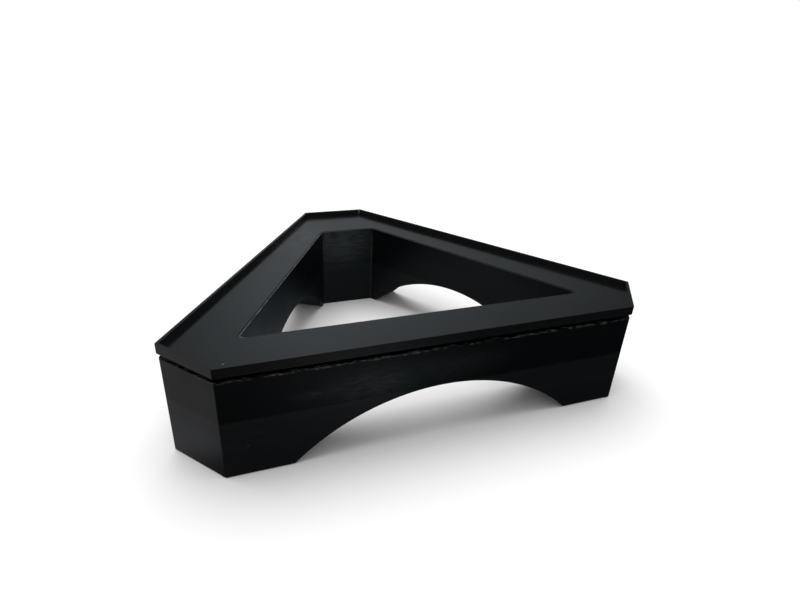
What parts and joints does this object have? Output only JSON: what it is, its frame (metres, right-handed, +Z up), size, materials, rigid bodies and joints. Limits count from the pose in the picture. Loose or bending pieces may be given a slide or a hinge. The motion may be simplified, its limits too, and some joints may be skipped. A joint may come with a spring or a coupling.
{
  "type": "triangle rack",
  "caption": "Thick-walled triangle rack with cut-off corners, an arch through each long side, a triangular opening, and a lift-off tray with a low rim on top.",
  "frame": {"origin": "on the surface the rack stands on, under the middle of its box", "axes": "+Z up; -Y out of the long front side; +X to the right along the front side, seen from the front"},
  "size_m": [0.251, 0.201, 0.057],
  "materials": {
    "base_plastic": "black 3D-printed plastic, satin, with fine layer lines",
    "tray_plastic": "black 3D-printed plastic, smooth and soft satin on top"
  },
  "bodies": {
    "base": {"base": "base_plastic"},
    "tray": {"tray": "tray_plastic"}
  },
  "joints": [
    {"name": "tray_lift", "type": "slide", "parent": "base", "child": "tray", "axis": [0, 0, 1], "range_m": [0, 0.04]}
  ]
}
